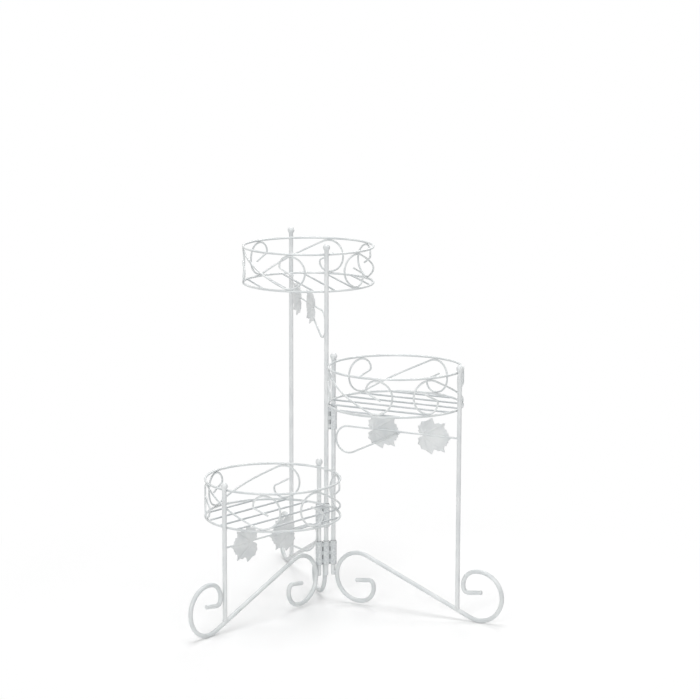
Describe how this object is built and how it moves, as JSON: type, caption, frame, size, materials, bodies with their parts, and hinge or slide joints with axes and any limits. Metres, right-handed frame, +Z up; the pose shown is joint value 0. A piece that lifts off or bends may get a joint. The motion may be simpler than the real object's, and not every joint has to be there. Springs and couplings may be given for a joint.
{
  "type": "folding plant stand",
  "caption": "Folding wire plant stand: hinged upright panels at stepped heights, each with a round open basket, ball-topped posts, leaf vines and a scrolled foot.",
  "frame": {"origin": "middle of the stand's bounding box, on the floor", "axes": "+Z up; -Y is the front, from which the tall panel stands at the back, the medium panel at the right and the low panel at the left front"},
  "size_m": [0.5516, 0.5976, 0.6618],
  "materials": {
    "post_tube": "satin white powder coat",
    "ball_finial": "satin white powder coat",
    "basket_wire": "satin white powder coat",
    "scroll_wire": "satin white powder coat",
    "vine_wire": "satin white powder coat",
    "leaf_sheet": "satin white powder coat",
    "foot_rod": "satin white powder coat",
    "hinge_sleeve": "satin white powder coat",
    "weld_bead": "satin white powder coat"
  },
  "bodies": {
    "stand": {"tall_inner_post": "post_tube", "tall_outer_post": "post_tube", "tall_inner_finial": "ball_finial", "tall_outer_finial": "ball_finial", "tall_top_ring": "basket_wire", "tall_floor_ring": "basket_wire", "tall_floor_slats": "basket_wire", "tall_scrollwork": "scroll_wire", "tall_vine_stem": "vine_wire", "tall_outer_leaf": "leaf_sheet", "tall_inner_leaf": "leaf_sheet", "tall_foot_scroll": "foot_rod", "lower_hinge_tall_sleeve": "hinge_sleeve", "lower_hinge_medium_sleeve": "hinge_sleeve", "lower_hinge_low_sleeve": "hinge_sleeve", "lower_hinge_welds": "weld_bead", "upper_left_hinge_tall_sleeve": "hinge_sleeve", "upper_left_hinge_low_sleeve": "hinge_sleeve", "upper_left_hinge_welds": "weld_bead", "upper_right_hinge_sleeve": "hinge_sleeve", "upper_right_hinge_welds": "weld_bead"},
    "medium_panel": {"medium_inner_post": "post_tube", "medium_outer_post": "post_tube", "medium_inner_finial": "ball_finial", "medium_outer_finial": "ball_finial", "medium_top_ring": "basket_wire", "medium_floor_ring": "basket_wire", "medium_floor_slats": "basket_wire", "medium_scrollwork": "scroll_wire", "medium_vine_stem": "vine_wire", "medium_outer_leaf": "leaf_sheet", "medium_inner_leaf": "leaf_sheet", "medium_foot_scroll": "foot_rod"},
    "low_panel": {"low_inner_post": "post_tube", "low_outer_post": "post_tube", "low_inner_finial": "ball_finial", "low_outer_finial": "ball_finial", "low_top_ring": "basket_wire", "low_floor_ring": "basket_wire", "low_floor_slats": "basket_wire", "low_scrollwork": "scroll_wire", "low_vine_stem": "vine_wire", "low_outer_leaf": "leaf_sheet", "low_inner_leaf": "leaf_sheet", "low_foot_scroll": "foot_rod"}
  },
  "joints": [
    {"name": "medium_panel_turn", "type": "hinge", "parent": "stand", "child": "medium_panel", "pos_m": [-0.02765, -0.02748, 0], "axis": [0, 0, 1], "range_deg": [-46, 134]},
    {"name": "low_panel_turn", "type": "hinge", "parent": "stand", "child": "low_panel", "pos_m": [-0.0538, -0.03498, 0], "axis": [0, 0, 1], "range_deg": [-124, 56]}
  ]
}
